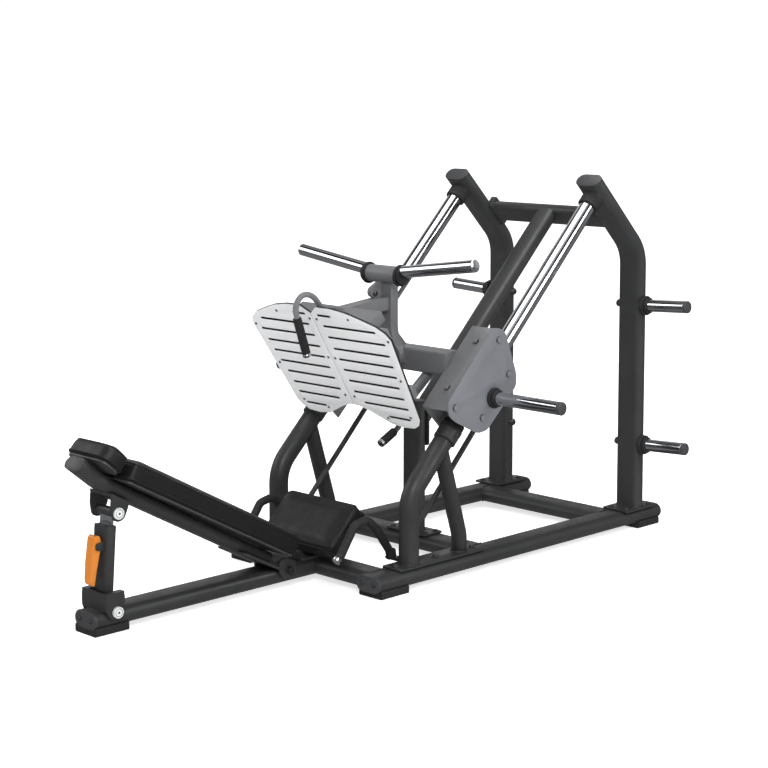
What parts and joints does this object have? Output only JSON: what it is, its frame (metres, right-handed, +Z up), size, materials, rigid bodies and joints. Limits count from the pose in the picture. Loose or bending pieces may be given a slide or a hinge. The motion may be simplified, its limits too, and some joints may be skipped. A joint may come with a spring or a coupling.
{
  "type": "leg press machine",
  "caption": "Plate-loaded 45 degree leg press: tilting back rest, seat, sliding foot carriage on guide rods and a bent tube tower.",
  "frame": {"origin": "centre of the footprint at floor level", "axes": "+Z up, +Y from the head end of the back rest to the tower, +X to the right of a seated person"},
  "size_m": [1.542, 2.6987, 1.4819],
  "materials": {
    "frame": "satin powder coat, charcoal",
    "carriage": "satin powder coat, mid silver grey",
    "carriage_side": "satin powder coat, light silver grey",
    "chrome": "bright plated",
    "aluminium": "brushed",
    "rubber": "matt black",
    "cap": "matt grey end cap",
    "leather": "black leatherette with a fine grain",
    "lever": "orange, slight gloss",
    "grip": "black, fine ribbed grip"
  },
  "bodies": {
    "root": {"base_rail_right": "frame", "base_rail_left": "frame", "rail_front_cap_right": "cap", "rail_front_cap_left": "cap", "front_cross_member": "frame", "middle_cross_member": "frame", "rear_cross_member": "frame", "centre_beam": "frame", "head_end_cap": "cap", "head_foot": "rubber", "front_foot_right": "rubber", "front_foot_left": "rubber", "rear_foot_right": "rubber", "rear_foot_left": "rubber", "tower_post_right": "frame", "tower_post_left": "frame", "post_cap_right": "cap", "post_cap_left": "cap", "top_cross_member": "frame", "centre_column": "frame", "spine_beam": "frame", "guide_rod_right": "chrome", "guide_rod_left": "chrome", "front_leg_right": "frame", "front_leg_left": "frame", "leg_brace_right": "frame", "leg_brace_left": "frame", "rod_collar_right": "frame", "rod_collar_left": "frame", "rod_bumper_right": "rubber", "rod_bumper_left": "rubber", "storage_peg_lower_right": "chrome", "storage_peg_lower_left": "chrome", "storage_peg_upper_right": "chrome", "storage_peg_upper_left": "chrome", "stop_bar_right": "frame", "stop_bar_left": "frame", "seat_pad": "leather", "seat_frame": "frame", "side_handle_right": "grip", "side_handle_left": "grip"},
    "carriage": {"side_plate_right": "carriage_side", "side_plate_left": "carriage_side", "bearing_housing_right": "carriage", "bearing_housing_left": "carriage", "side_horn_right": "chrome", "side_horn_left": "chrome", "foot_plate_right": "aluminium", "foot_plate_left": "aluminium", "carriage_frame": "carriage", "top_horn_right": "chrome", "top_horn_left": "chrome"},
    "release_handle": {"release_handle": "grip"},
    "back_rest": {"back_frame": "frame", "back_pad": "leather", "head_pad": "leather"},
    "support_post": {"support_post": "frame"},
    "support_bar": {"support_bar": "chrome"},
    "lock_lever": {"lock_lever": "lever"}
  },
  "joints": [
    {"name": "carriage_slide", "type": "slide", "parent": "root", "child": "carriage", "axis": [0, 0.7071, 0.7071], "range_m": [0, 0.75]},
    {"name": "release_turn", "type": "hinge", "parent": "carriage", "child": "release_handle", "pos_m": [0.048, -0.171, 0.905], "axis": [0.2524, 0.5105, -0.822], "range_deg": [0, 10]},
    {"name": "back_tilt", "type": "hinge", "parent": "root", "child": "back_rest", "pos_m": [0, -0.445, 0.072], "axis": [-1, 0, 0], "range_deg": [0, 9.8]},
    {"name": "support_swing", "type": "hinge", "parent": "root", "child": "support_post", "pos_m": [0, -1.221, 0.075], "axis": [-1, 0, 0], "range_deg": [0, 7.3]},
    {"name": "support_extend", "type": "slide", "parent": "support_post", "child": "support_bar", "axis": [0, 0.0732, 0.9973], "range_m": [0, 0.132]},
    {"name": "lock_lever_pull", "type": "hinge", "parent": "support_post", "child": "lock_lever", "pos_m": [0, -1.259, 0.296], "axis": [-1, 0, 0], "range_deg": [0, 20]}
  ],
  "couplings": [
    {"joint": "support_swing", "follows": "back_tilt", "ratio": 0.7433},
    {"joint": "support_extend", "follows": "back_tilt", "m_per_rad": 0.7703}
  ]
}
